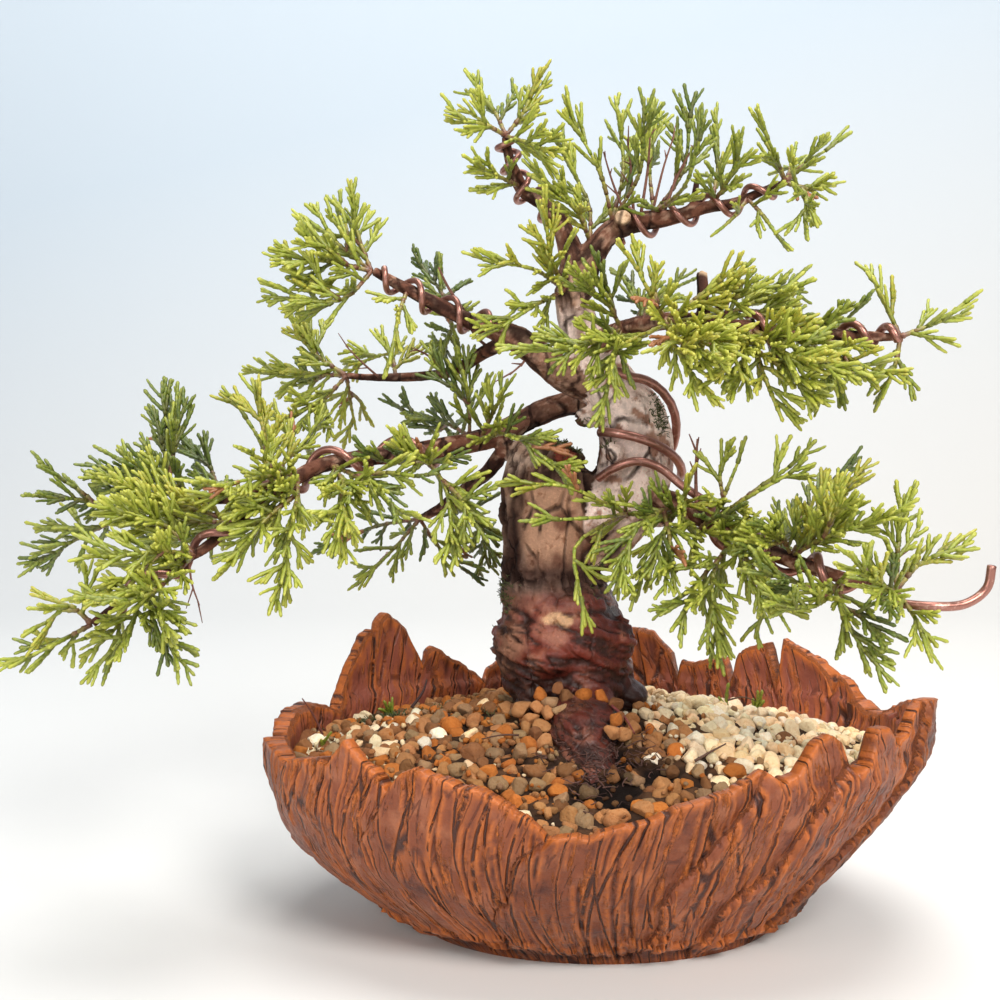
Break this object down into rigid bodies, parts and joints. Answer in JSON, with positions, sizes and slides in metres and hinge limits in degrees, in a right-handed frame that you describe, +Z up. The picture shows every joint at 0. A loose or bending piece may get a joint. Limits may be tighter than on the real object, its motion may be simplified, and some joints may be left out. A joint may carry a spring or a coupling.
{
  "type": "potted bonsai tree",
  "caption": "Small twisted juniper bonsai with wired branches and scale-leaf sprays, planted in gritty soil in an oval clay bowl with a torn, petal-like rim.",
  "frame": {"origin": "centre of the flat underside of the bowl, in the plane that it stands on", "axes": "+Z up along the bowl's axis, +X to the right in the front view, along the tree's widest spread, +Y away from the front"},
  "size_m": [0.2408, 0.1419, 0.2194],
  "materials": {
    "clay": "satin unglazed red-brown clay, torn and grooved like bark",
    "gravel": "matte mixed grains, cream, orange-brown and grey-brown",
    "bark": "fissured grey-brown bark, maroon and glossy low down",
    "foliage": "satin yellow-green scale leaves with lighter tips",
    "wire": "satin pinkish-brown anodised"
  },
  "bodies": {
    "root": {"pot": "clay", "soil": "gravel", "trunk": "bark", "wire_loop_high": "wire", "wire_loop_outer": "wire", "wire_leader_left": "wire", "wire_leader_right": "wire", "wire_left_high": "wire", "wire_left_low": "wire", "wire_right_middle": "wire", "wire_right_low": "wire", "leafy_left_low_tip": "foliage", "leafy_left_low_hanging": "foliage", "leafy_left_low_front": "foliage", "leafy_left_low_side": "foliage", "leafy_left_back_tip": "foliage", "leafy_left_back_high": "foliage", "leafy_left_back_rear": "foliage", "leafy_left_centre_front": "foliage", "leafy_left_centre_high": "foliage", "leafy_left_centre_right": "foliage", "leafy_left_near_front": "foliage", "leafy_left_near_high": "foliage", "leafy_left_near_right": "foliage", "leafy_lower_back": "foliage", "leafy_lower_back_side": "foliage", "leafy_left_middle_tip": "foliage", "leafy_left_middle_side": "foliage", "leafy_left_high_tip": "foliage", "leafy_left_high_side": "foliage", "leafy_left_high_rear": "foliage", "leafy_top_left": "foliage", "leafy_top_left_low": "foliage", "leafy_crown_left": "foliage", "leafy_crown_middle": "foliage", "leafy_crown_right": "foliage", "leafy_crown_far": "foliage", "leafy_top_right": "foliage", "leafy_top_right_low": "foliage", "leafy_middle_front": "foliage", "leafy_right_inner": "foliage", "leafy_right_front": "foliage", "leafy_right_rear": "foliage", "leafy_right_middle_high": "foliage", "leafy_right_middle_low": "foliage", "leafy_right_middle_rear": "foliage", "leafy_right_middle_under": "foliage", "leafy_right_middle_tip": "foliage", "leafy_right_low_inner": "foliage", "leafy_right_low_high": "foliage", "leafy_right_low_hanging": "foliage", "leafy_right_low_middle": "foliage", "leafy_right_low_rear": "foliage", "leafy_right_low_under": "foliage", "leafy_right_low_tip": "foliage", "leafy_front_shoot": "foliage"}
  },
  "joints": []
}
